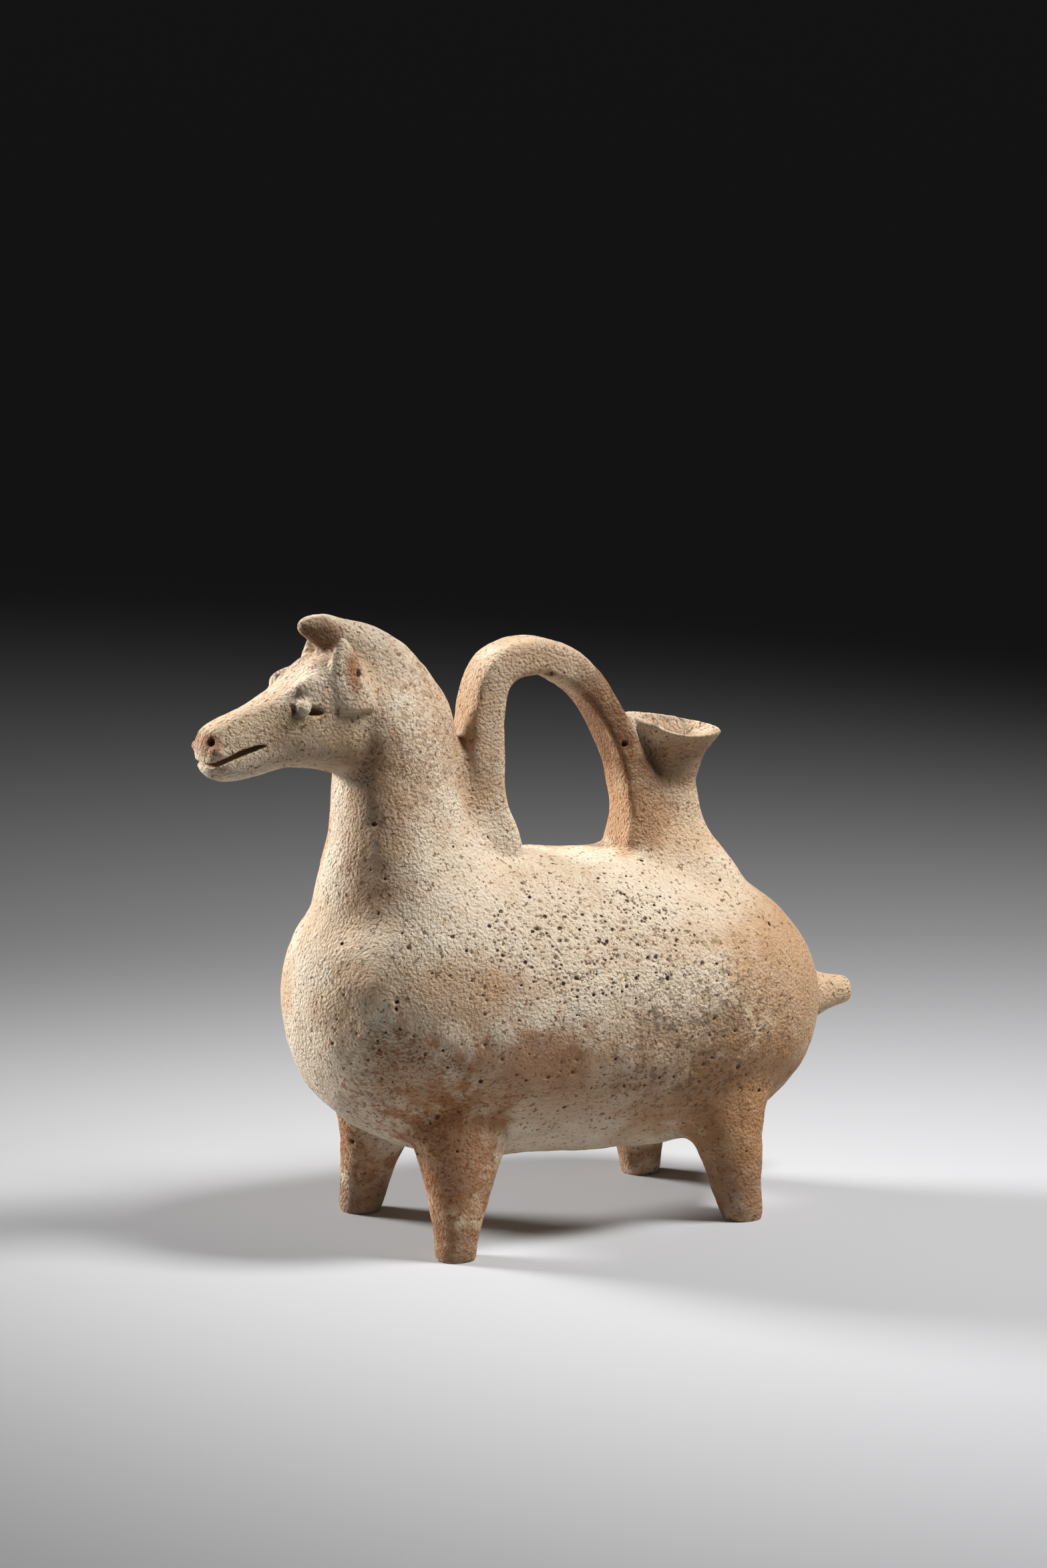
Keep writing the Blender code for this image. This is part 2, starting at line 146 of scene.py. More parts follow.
for foot_x in (FRONT_LEG_X, REAR_LEG_X):
    for side in (-1, 1):
        foot = Vector((foot_x, side * FOOT_Y, 0.0))
        inwards = math.copysign(LEG_LEAN, BODY_X - foot_x)
        hip = Vector((foot_x + inwards, side * (FOOT_Y - 1.3 * LEG_LEAN), BODY_Z))
        leg_rings = []
        for share, along, across in smooth_table(LEG_FLARE, 36):
            centre = foot.lerp(hip, share)
            section = outline(48, FOOT_RADIUS * along, FOOT_RADIUS * across)
            leg_rings.append([(centre.x + x, centre.y + y, centre.z) for x, y in section])
        trunk_forms.append(lofted("leg", leg_rings))


# The neck is a hollow column of clay pressed on over the shoulder. Level slices give it: rise above
# the back, front, back, half width, and how far the section narrows towards the mane. Its top
# slices are the cropped mane, which leans forward over the forehead as a blunt forelock.
NECK_X = CHEST_X + 42.0
NECK_SLICES = (
    (-62, -28, 40, 36, 0.0),
    (-34, -30, 50, 50, 0.0),
    (-16, -30, 52, 41, 0.0),
    (-6, -28.5, 47, 35.5, 0.04),
    (4, -26.5, 41.5, 30.5, 0.10),
    (18, -23.5, 35, 25.5, 0.20),
    (34, -22.5, 31.5, 22.5, 0.28),
    (50, -22.5, 30.5, 21.5, 0.34),
    (63, -26, 27.5, 19, 0.38),
    (72, -28, 22.5, 16, 0.36),
    (81, -28, 15.5, 11.5, 0.05),
    (89, -29.5, 7.5, 8.6, -0.10),
    (93.5, -35.0, 1.0, 7.2, -0.10),
    (98, -41.0, -7.0, 6.2, -0.05),
    (102, -41.0, -18, 5.0, 0.0),
    (104.4, -37.5, -27, 2.8, 0.0),
)
CREST_FOOT, NECK_TOP, CREST_TOP = 56, 77, 110


def neck(name, bottom, top):
    """The neck between two rises above the back."""
    rings = []
    for rise, front, back, half_width, narrowing in smooth_table(NECK_SLICES, 110):
        if not bottom <= rise <= top:
            continue
        half_length = (back - front) / 2
        ring = []
        for along, across in outline(64, half_length, half_width):
            side = across * (1 - narrowing * along / half_length)
            ring.append((NECK_X + (front + back) / 2 + along, side, BACK_Z + rise))
        rings.append(ring)
    return lofted(name, rings)


trunk_forms.append(neck("neck", -62, NECK_TOP))


# The filling neck stands on the back towards the rump: a narrow throat that opens to a flared cup.
# It was thrown on the wheel and luted on, and clay was smeared up around its root and around both
# feet of the strap, so that they grow out of the back.
SPOUT_X = RUMP_X - 65.0
SPOUT_RISE, SPOUT_TILT = 46.5, 0.15
THROAT_RADIUS, RIM_RADIUS, LIP_THICKNESS = 11.4, 21.5, 4.2
FLARE = RIM_RADIUS - THROAT_RADIUS
SPOUT_PROFILE = (
    (-0.75, 2.80 * THROAT_RADIUS),
    (-0.42, 2.70 * THROAT_RADIUS),
    (-0.22, 2.30 * THROAT_RADIUS),
    (-0.06, 1.80 * THROAT_RADIUS),
    (0.08, 1.36 * THROAT_RADIUS),
    (0.26, 1.12 * THROAT_RADIUS),
    (0.48, THROAT_RADIUS),
    (0.66, THROAT_RADIUS + 0.08 * FLARE),
    (0.80, THROAT_RADIUS + 0.32 * FLARE),
    (0.91, THROAT_RADIUS + 0.70 * FLARE),
    (1.00, RIM_RADIUS),
)
HANDLE_RISE = 81.0
STRAP_WIDTH, STRAP_THICKNESS = 21.5, 12.6


def spout_ring(share, radius, points=56):
    """A level ring low down, tipping up towards the handle as it nears the rim."""
    tip = SPOUT_TILT * max(share, 0.0) ** 2
    z = BACK_Z + share * SPOUT_RISE
    return [(SPOUT_X + x, y, z - tip * x) for x, y in outline(points, radius, radius)]


spout_rows = smooth_table(SPOUT_PROFILE, 60)
trunk_forms.append(lofted("throat", [spout_ring(s, r) for s, r in spout_rows if s < 0.62]))

WEBS = ((NECK_X + 37, 0.60, 0.53), (SPOUT_X - THROAT_RADIUS - 2, 0.42, 0.56))
for centre_x, top_share, width_share in WEBS:
    web_rings = []
    for up, swell in smooth_table(((-0.25, 1.9), (0.05, 1.35), (0.5, 1.05), (0.85, 0.85), (1.0, 0.5)), 20):
        z = BACK_Z + up * top_share * HANDLE_RISE
        section = outline(40, STRAP_THICKNESS * 0.75 * swell, STRAP_WIDTH * width_share * swell)
        web_rings.append([(centre_x + x, y, z) for x, y in section])
    trunk_forms.append(lofted("web", web_rings))


# The joins were smeared over while the clay was soft. Each round of fusing gives the forms one
# skin of even grain, and then softens it: much at the trunk's joins, little at the small ones.
def evaluated_mesh(thing):
    graph = bpy.context.evaluated_depsgraph_get()
    return bpy.data.meshes.new_from_object(thing.evaluated_get(graph))


def joined(name, forms):
    """One object that holds every form, not yet fused. The forms are used up."""
    whole = bmesh.new()
    for form in forms:
        whole.from_mesh(form.data)
        bpy.data.objects.remove(form)
    data = bpy.data.meshes.new(name)
    whole.to_mesh(data)
    whole.free()
    clay = bpy.data.objects.new(name, data)
    bpy.context.scene.collection.objects.link(clay)
    return clay


def fused(name, forms, grain, rounds):
    """The forms under one skin, meshed at this grain and softened for some rounds."""
    clay = joined(name, forms)
    remesh = clay.modifiers.new("fusing", "REMESH")
    remesh.mode = "VOXEL"
    remesh.voxel_size = grain * MM
    smooth = clay.modifiers.new("softening", "SMOOTH")
    smooth.factor = 0.5
    smooth.iterations = rounds
    clay.data = evaluated_mesh(clay)
    clay.modifiers.clear()
    return clay


trunk = fused("trunk", trunk_forms, 1.9, 34)


# The head is a solid wedge of clay on the front of the neck, with a long straight nose and a
# rounded muzzle. Upright slices give it: run forward of the neck, top, underside, half width.
MUZZLE_RUN = 83.3
HEAD_SLICES = (
    (6, 84, 40, 15),
    (16, 87, 38, 17.2),
    (26, 89.5, 40, 17.6),
    (35, 88, 42.5, 16.8),
    (42, 82.5, 44, 16),
    (48, 77.5, 44.6, 14.8),
    (54, 74.3, 44.0, 13.2),
    (60, 71.6, 42.8, 12),
    (67, 69, 41.4, 11.2),
    (73, 66.8, 40.8, 10.8),
    (78, 64.8, 41.8, 10),
    (81.5, 62.8, 44.5, 8.6),
    (83, 60.5, 47.5, 6.2),
    (MUZZLE_RUN + 0.5, 58, 51, 3),
)


def on_head(run, side, rise):
    """A drawn point on the head: run forward of the neck, out to a side, and up from the back."""
    return Vector((NECK_X - run, side, BACK_Z + rise))


head_rings = []
for run, top, underside, half_width in smooth_table(HEAD_SLICES, 90):
    section = outline(56, half_width, (top - underside) / 2, 2.6)
    head_rings.append([on_head(run, across, (top + underside) / 2 + up) for across, up in section])
head = lofted("head", head_rings)


# The tail is a short cone stuck on the rump and cut off square with a knife.
TAIL_LENGTH, TAIL_ROOT, TAIL_END, TAIL_DROP = 22.2, 11.5, 5.4, 2.8
TAIL_PROFILE = (
    (0.00, 2.30),
    (0.30, 1.75),
    (0.48, 1.25),
    (0.58, 1.00),
    (0.70, 0.82),
    (0.85, 0.62),
    (1.00, TAIL_END / TAIL_ROOT),
)

tail_root_x = RUMP_X - 2.4 * TAIL_ROOT
tail_z = BODY_Z - BODY_SLOPE * BODY_LENGTH / 2 - TAIL_DROP
tail_rings = []
for share, swell in smooth_table(TAIL_PROFILE, 32):
    x = tail_root_x + (RUMP_X + TAIL_LENGTH - tail_root_x) * share
    section = outline(40, TAIL_ROOT * swell, TAIL_ROOT * swell)
    tail_rings.append([(x, y, tail_z + up) for y, up in section])
tail = lofted("tail", tail_rings)

figure = fused("figure", [trunk, head, neck("crest", CREST_FOOT, CREST_TOP), tail], 1.2, 15)


# The handle is a thick strap pulled from a roll of clay, bent over by hand and pressed on behind
# the mane and against the cup. Share of the span, of the rise, of its thickness, of its width.
STRAP_LINE = (
    (0.060, -0.300, 1.9, 1.5),
    (0.050, 0.040, 1.75, 1.35),
    (0.010, 0.250, 1.40, 1.1),
    (-0.005, 0.480, 1.30, 1.0),
    (-0.002, 0.700, 1.22, 1.0),
    (0.042, 0.880, 1.18, 1.0),
    (0.150, 0.975, 1.18, 1.0),
    (0.310, 1.000, 1.20, 1.0),
    (0.480, 0.960, 1.14, 1.0),
    (0.640, 0.860, 1.04, 1.0),
    (0.770, 0.710, 0.95, 1.0),
    (0.875, 0.550, 1.00, 1.0),
    (0.965, 0.360, 1.20, 1.02),
    (1.022, 0.170, 1.44, 1.06),
    (1.030, -0.010, 1.85, 1.25),
    (1.030, -0.250, 2.00, 1.50),
)


def swept(name, line, points, squareness):
    """A section swept along a line in the middle plane: x, z, half thickness, half width."""
    rings = []
    for i, (x, z, half_thick, half_wide) in enumerate(line):
        before, after = line[max(i - 1, 0)], line[min(i + 1, len(line) - 1)]
        along = Vector((after[0] - before[0], 0, after[1] - before[1])).normalized()
        outward = Vector((-along.z, 0, along.x))
        section = outline(points, half_wide, half_thick, squareness)
        rings.append([Vector((x, across, z)) + outward * out for across, out in section])
    return lofted(name, rings)


strap_front_x = NECK_X + 28.5 + STRAP_THICKNESS
strap_rear_x = SPOUT_X - THROAT_RADIUS - 0.45 * STRAP_THICKNESS
strap_stations = []
for along, up, thick, wide in smooth_table(STRAP_LINE, 110):
    x = strap_front_x + along * (strap_rear_x - strap_front_x)
    z = BACK_Z + up * HANDLE_RISE
    strap_stations.append((x, z, STRAP_THICKNESS / 2 * thick, STRAP_WIDTH / 2 * wide))
limbs = [swept("handle", strap_stations, 64, 5.0)]


# The ears are leaves of clay pinched up between finger and thumb, with a thick front rim, and
# opened on the outer side with a stick. A thumb pressed the forelock hollow on either side.
def egg(name, centre, radii, turn=Matrix.Identity(3), points=32):
    """An egg with half sizes along its own X, Y and Z, set at a drawn point by a rotation."""
    rings = []
    for angle in np.linspace(0.1, math.pi - 0.1, points // 2):
        share, height = math.sin(angle), radii[2] * math.cos(angle)
        ring = outline(points, radii[0] * share, radii[1] * share)
        rings.append([centre + turn @ Vector((x, y, height)) for x, y in ring])
    return lofted(name, rings)


EAR_SWELLS = ((0.0, 1.50), (0.3, 1.32), (0.55, 1.02), (0.76, 0.70), (0.91, 0.42), (1.0, 0.16))
cuts, pricks = [], []
for side in (-1, 1):
    ear_base, ear_tip = on_head(22.5, side * 13.0, 68), on_head(26.8, side * 12.8, 96.5)
    ear_rings = []
    for share, swell in smooth_table(EAR_SWELLS, 24):
        centre = ear_base.lerp(ear_tip, share)
        section = outline(36, 7.8 * swell, 4.8 * swell)
        ear_rings.append([(centre.x + x, centre.y + y, centre.z) for x, y in section])
    limbs.append(lofted("ear", ear_rings))
    lean = Matrix.Rotation(math.radians(-12), 3, "Y") @ Matrix.Rotation(side * math.radians(4), 3, "X")
    cuts.append(egg("ear_hollow", on_head(20.8, side * 18.4, 86.5), Vector((2.3, 3.4, 7.6)), lean))
    cuts.append(egg("forelock_hollow", on_head(35.0, side * 9.5, 96.5), Vector((9.4, 5.4, 6.2)), lean))
    pricks.append(egg("ear_hole", on_head(21.6, side * 16.0, 82.0), Vector((1.3, 4.6, 1.5))))


# Two small hollows on the strap's left side, where temper burst out of the clay in the kiln: a
# round hole low down towards the cup, and a flatter one under the top of the bend.
STRAP_HOLE, HOLE_SIZE = Vector((36, -10.6, 197.5)), Vector((1.3, 3.0, 1.4))
STRAP_CHIP, CHIP_SIZE = Vector((1, -9.5, 229.0)), Vector((3.0, 2.6, 1.4))
pricks.append(egg("strap_hole", STRAP_HOLE, HOLE_SIZE))
pricks.append(egg("strap_chip", STRAP_CHIP, CHIP_SIZE))


# The cup of the filling neck: its lip was drawn out thin and turned over at the rim. A stretch of
# it on the left side broke off in use, and the break is worn.
def spout_cup():
    rings = []
    for share, radius in spout_rows[::2]:
        if share > 0.2:
            rings.append(spout_ring(share, radius - 1.3 * LIP_THICKNESS * max(0.62 - share, 0.0)))
    rings.append(spout_ring(1.00, RIM_RADIUS))
    rings.append(spout_ring(1.03, RIM_RADIUS - 0.10 * LIP_THICKNESS))
    rings.append(spout_ring(1.05, RIM_RADIUS - 0.35 * LIP_THICKNESS))
    return lofted("cup", rings)


def spout_bore():
    bore = THROAT_RADIUS - LIP_THICKNESS
    rings = [spout_ring(-15 / SPOUT_RISE, bore)]
    for share, radius in spout_rows[::2]:
        if share > 0.30:
            thinned = LIP_THICKNESS * (1.0 - 0.9 * max(share - 0.6, 0.0))
            rings.append(spout_ring(share, max(radius - thinned, bore)))
    rings.append(spout_ring(1.03, RIM_RADIUS - 0.60 * LIP_THICKNESS))
    rings.append(spout_ring(1.30, RIM_RADIUS))
    return lofted("bore", rings)


LIP_CHIP = Vector((0.92 * RIM_RADIUS, 0.42 * RIM_RADIUS, 4.4))
chip_centre = Vector((SPOUT_X - 0.18 * RIM_RADIUS, -1.04 * RIM_RADIUS, BACK_Z + 1.07 * SPOUT_RISE))
chip_turn = Matrix.Rotation(SPOUT_TILT, 3, "Y")
limbs.append(spout_cup())
pricks.append(egg("lip_chip", chip_centre, LIP_CHIP, chip_turn))


def carved(clay, tools):
    """The clay with what the tools take away."""
    tool = joined("tool", tools)
    cut = clay.modifiers.new("cut", "BOOLEAN")
    cut.operation = "DIFFERENCE"
    cut.object = tool
    clay.data = evaluated_mesh(clay)
    clay.modifiers.clear()
    bpy.data.objects.remove(tool)
    return clay


# The face: brow ridges are rolls smoothed over the eyes, the nostrils were pricked with a stick
# and their wings pushed up, and the mouth was cut with a knife, whose lips stayed sharp.
for side in (-1, 1):
    brow_turn = Matrix.Rotation(math.radians(-16), 3, "Y")
    limbs.append(egg("brow", on_head(40.0, side * 10.4, 78.4), Vector((7.8, 4.3, 3.7)), brow_turn))
    limbs.append(egg("nostril_wing", on_head(79.2, side * 8.2, 54.6), Vector((4.0, 3.0, 2.8))))

figure = fused("figure", [figure] + limbs, 0.9, 6)

MOUTH_LINE = (
    (96, 46.0, 1.9),
    (84, 48.0, 0.95),
    (77, 50.4, 1.1),
    (70, 53.0, 1.45),
    (64, 54.8, 1.2),
    (58.5, 56.0, 0.35),
)
MOUTH_HALF_OPENING = 1.1
mouth_stations = []
for run, rise, share in smooth_table(MOUTH_LINE, 24):
    point = on_head(run, 0, rise)
    mouth_stations.append((point.x, point.z, MOUTH_HALF_OPENING * share, 16))
cuts.append(swept("mouth_cut", mouth_stations, 20, 2.0))

for side in (-1, 1):
    outwards = Matrix.Rotation(side * math.radians(42), 3, "Z")
    cuts.append(egg("nostril_dish", on_head(82.6, side * 9.6, 58.8), Vector((2.8, 1.5, 2.6)), outwards))
    pricks.append(egg("nostril_pit", on_head(82.4, side * 7.8, 58.0), Vector((1.6, 4.4, 1.7)), outwards))


# The eyes are pellets pressed into almond sockets. The stick that opened each socket left a dark
# slit before and behind the pellet.
EYE = (44.9, 13.8, 69.8)
pellets = []
for side in (-1, 1):
    slant = Matrix.Rotation(math.radians(10), 3, "Y")
    socket_centre = on_head(EYE[0] - 0.8, side * (EYE[1] + 1.6), EYE[2] - 0.9)
    cuts.append(egg("socket", socket_centre, Vector((7.8, 4.4, 2.3)), slant))
    pellets.append(egg("pellet", on_head(EYE[0], side * EYE[1], EYE[2]), Vector((3.1, 3.2, 3.1))))


ground = lofted("ground", [[(x, y, z) for x, y in outline(4, 400, 400)] for z in (-40, 0)])
for tools in (cuts, pricks, [spout_bore()], [ground]):
    figure = carved(figure, tools)
rhyton = fused("rhyton_clay", [figure] + pellets, 0.58, 3)


# Fired coarse clay is never smooth. Geometry Nodes push the skin in and out along its normals: the
# slow unevenness of handling, grit, and pits where temper burst out, crowded on the upper flank.
def put(tree, kind, inputs, output=0, **settings):
    """Adds a node, for a surface or for a material, and gives one of its outputs."""
    node = tree.nodes.new(kind)
    for setting, value in settings.items():
        setattr(node, setting, value)
    for socket, value in inputs.items():
        if isinstance(value, bpy.types.NodeSocket):
            tree.links.new(value, node.inputs[socket])
        else:
            node.inputs[socket].default_value = value
    return node.outputs[output]


def reckon(tree, operation, *values):
    return put(tree, "ShaderNodeMath", dict(enumerate(values)), operation=operation)


def drawn_place(tree, position):
    """A position on the finished piece, in the millimetres that it is drawn in."""
    from_ground = put(tree, "ShaderNodeVectorMath", {0: position, 1: GROUND_MIDDLE}, operation="SUBTRACT")
    return put(tree, "ShaderNodeVectorMath", {0: from_ground, "Scale": 1 / MM}, operation="SCALE")


def noise(tree, place, wavelength, detail=2.0):
    """Soft noise, from about -0.5 to 0.5."""
    cloud = put(tree, "ShaderNodeTexNoise", {"Vector": place, "Scale": 1 / wavelength, "Detail": detail})
    return reckon(tree, "SUBTRACT", cloud, 0.5)


def ramp(tree, value, start, end, low=0.0, high=1.0):
    """Runs smoothly from low to high as the value goes from start to end."""
    limits = {"Value": value, "From Min": start, "From Max": end, "To Min": low, "To Max": high}
    return put(tree, "ShaderNodeMapRange", limits, interpolation_type="SMOOTHSTEP")


def part_of(tree, vector, axis):
    return put(tree, "ShaderNodeSeparateXYZ", {0: vector}, axis)


def patch(tree, place, centre, sizes, ragged=1.2):
    """1 in an egg-shaped region, which both flanks have, and 0 outside it, with a ragged edge."""
    x, y, z = (part_of(tree, place, axis) for axis in range(3))
    one_side = put(tree, "ShaderNodeCombineXYZ", {0: x, 1: reckon(tree, "ABSOLUTE", y), 2: z})
    offset = put(tree, "ShaderNodeVectorMath", {0: one_side, 1: centre}, operation="SUBTRACT")
    shares = put(tree, "ShaderNodeVectorMath", {0: offset, 1: sizes}, operation="DIVIDE")
    reach = put(tree, "ShaderNodeVectorMath", {0: shares}, "Value", operation="LENGTH")
    wear = reckon(tree, "MULTIPLY", noise(tree, place, 9.0, 4.0), ragged)
    return ramp(tree, reckon(tree, "ADD", reach, wear), 0.60, 1.40, 1.0, 0.0)


PIT_FIELD = ((-6, 50, 127), (48, 30, 24))
FLANK = ((0, 45, 105), (115, 45, 75))
PIT_SIZES = ((3.6, 1.3, 1.0), (2.2, 0.85, 0.8))


def pitting(tree, place, crowding, scatter):
    """The pits' depth at a place, in drawn millimetres. A cell of each spacing holds a pit or none."""
    crowded = reckon(tree, "MULTIPLY", patch(tree, place, *PIT_FIELD), crowding)
    share = reckon(tree, "MULTIPLY_ADD", patch(tree, place, *FLANK), scatter, crowded)
    wobble = put(tree, "ShaderNodeTexNoise", {"Vector": place, "Scale": 0.7}, "Color")
    ragged = put(tree, "ShaderNodeVectorMath", {0: place, 1: wobble}, operation="ADD")
    depth = 0.0
    for spacing, size, deep in PIT_SIZES:
        cells = {"Vector": ragged, "Scale": 1 / spacing}
        distance = put(tree, "ShaderNodeTexVoronoi", cells, "Distance")
        chance = put(tree, "ShaderNodeTexVoronoi", cells, "Color")
        reach = ramp(tree, part_of(tree, chance, 1), 0.0, 1.0, 0.4 * size / spacing, size / spacing)
        hollow = ramp(tree, reckon(tree, "DIVIDE", distance, reach), 0.35, 1.0, deep, 0.0)
        there = reckon(tree, "LESS_THAN", part_of(tree, chance, 0), share)
        depth = reckon(tree, "MULTIPLY_ADD", hollow, there, depth)
    return depth


def surface_tree():
    tree = bpy.data.node_groups.new("fired_surface", "GeometryNodeTree")
    tree.interface.new_socket("Geometry", in_out="INPUT", socket_type="NodeSocketGeometry")
    for label in ("Unevenness", "Lumps", "Grit", "Pit depth", "Pits on the flank", "Pits elsewhere"):
        tree.interface.new_socket(label, in_out="INPUT", socket_type="NodeSocketFloat")
    tree.interface.new_socket("Clay", in_out="INPUT", socket_type="NodeSocketMaterial")
    tree.interface.new_socket("Geometry", in_out="OUTPUT", socket_type="NodeSocketGeometry")
    given = tree.nodes.new("NodeGroupInput").outputs
    place = drawn_place(tree, put(tree, "GeometryNodeInputPosition", {}))
    hollows = pitting(tree, place, given["Pits on the flank"], given["Pits elsewhere"])
    relief = reckon(tree, "MULTIPLY", reckon(tree, "MULTIPLY", hollows, given["Pit depth"]), -1.0)
    for wavelength, label in ((26.0, "Unevenness"), (7.0, "Lumps"), (2.3, "Grit")):
        relief = reckon(tree, "MULTIPLY_ADD", noise(tree, place, wavelength, 1.0), given[label], relief)

    above_ground = ramp(tree, part_of(tree, place, 2), 0.4, 3.0, 0.0, MM)
    push = reckon(tree, "MULTIPLY", relief, above_ground)
    normal = put(tree, "GeometryNodeInputNormal", {})
    offset = put(tree, "ShaderNodeVectorMath", {0: normal, "Scale": push}, operation="SCALE")
    moved = put(tree, "GeometryNodeSetPosition", {"Geometry": given["Geometry"], "Offset": offset})
    real = put(tree, "GeometryNodeRealizeInstances", {"Geometry": moved})
    clothed = put(tree, "GeometryNodeSetMaterial", {"Geometry": real, "Material": given["Clay"]})
    tree.links.new(clothed, tree.nodes.new("NodeGroupOutput").inputs[0])
    return tree


PITS_ON_FLANK, PITS_ELSEWHERE = 0.85, 0.12
clay_look = bpy.data.materials.new("fired_clay")
fired = rhyton.modifiers.new("fired_surface", "NODES")
fired.node_group = surface_tree()
choices = {
    "Unevenness": 2.8,
    "Lumps": 0.7,
    "Grit": 0.20,
    "Pit depth": 1.3,
    "Pits on the flank": PITS_ON_FLANK,
    "Pits elsewhere": PITS_ELSEWHERE,
    "Clay": clay_look,
}
for socket in fired.node_group.interface.items_tree:
    if socket.in_out == "INPUT" and socket.name in choices:
        fired[socket.identifier] = choices[socket.name]
thinning = rhyton.modifiers.new("thinning", "DECIMATE")
OUTSIDE_TRIANGLES = 176000
thinning.ratio = min(1.0, OUTSIDE_TRIANGLES / (2 * len(rhyton.data.polygons)))
rhyton.data = evaluated_mesh(rhyton)
rhyton.modifiers.clear()


# The vessel is hollow: the pot's chamber, a channel that runs up through the neck to the mouth, and
# the bore under the cup. What can't be seen of them is as plain as the thrown pot.
WALL = 6.0
CHANNEL_LINE = (
    (-10, -34, 26, 26),
    (-10, -12, 23, 22),
    (-8, 8, 19.5, 17),
    (-5, 26, 16, 14),
    (-1, 40, 12, 11),
    (8, 52, 8, 8),
    (22, 59, 5, 5),
    (40, 59, 3, 3.5),
    (58, 56, 1.8, 3),
    (72, 52.5, 1.3, 3),
)
channel_stations = []
for run, rise, half_thick, half_wide in smooth_table(CHANNEL_LINE, 30):
    point = on_head(run, 0, rise)
    channel_stations.append((point.x, point.z, half_thick, half_wide))
hollow_forms = [barrel("chamber", WALL, 60, 60), swept("pouring_channel", channel_stations, 24, 2.0)]
bore_rings = [spout_ring(share, THROAT_RADIUS - LIP_THICKNESS) for share in (-0.9, -0.5, 0.0, 0.2)]
hollow_forms.append(lofted("lower_bore", bore_rings))
hollow = fused("hollow", hollow_forms, 0.9, 4)
thinning = hollow.modifiers.new("thinning", "DECIMATE")
HOLLOW_TRIANGLES = 12000
thinning.ratio = min(1.0, HOLLOW_TRIANGLES / (2 * len(hollow.data.polygons)))
hollow.data = evaluated_mesh(hollow)
hollow.modifiers.clear()
rhyton = carved(rhyton, [hollow])
rhyton.name = "rhyton_vessel"
rhyton.data.name = "rhyton_vessel"
rhyton.data.shade_smooth()


# The clay is cream where it fired clean, ochre towards the rump and the cup, and stained by smoke,
# soil and wear. Fawn and brown are partly painted shade where the clay lies in shade, and pale is
# painted light on the low chest and belly. Each stain has a middle, half sizes, a colour, a strength
# and a raggedness.
def paint(red, green, blue):
    """A colour as the eye reads it, turned into the light that the clay sends back."""
    return tuple((value / 255) ** 2.2 for value in (red, green, blue)) + (1.0,)


def mixed(tree, share, low, high):
    return put(tree, "ShaderNodeMix", {0: share, 6: low, 7: high}, 2, data_type="RGBA")


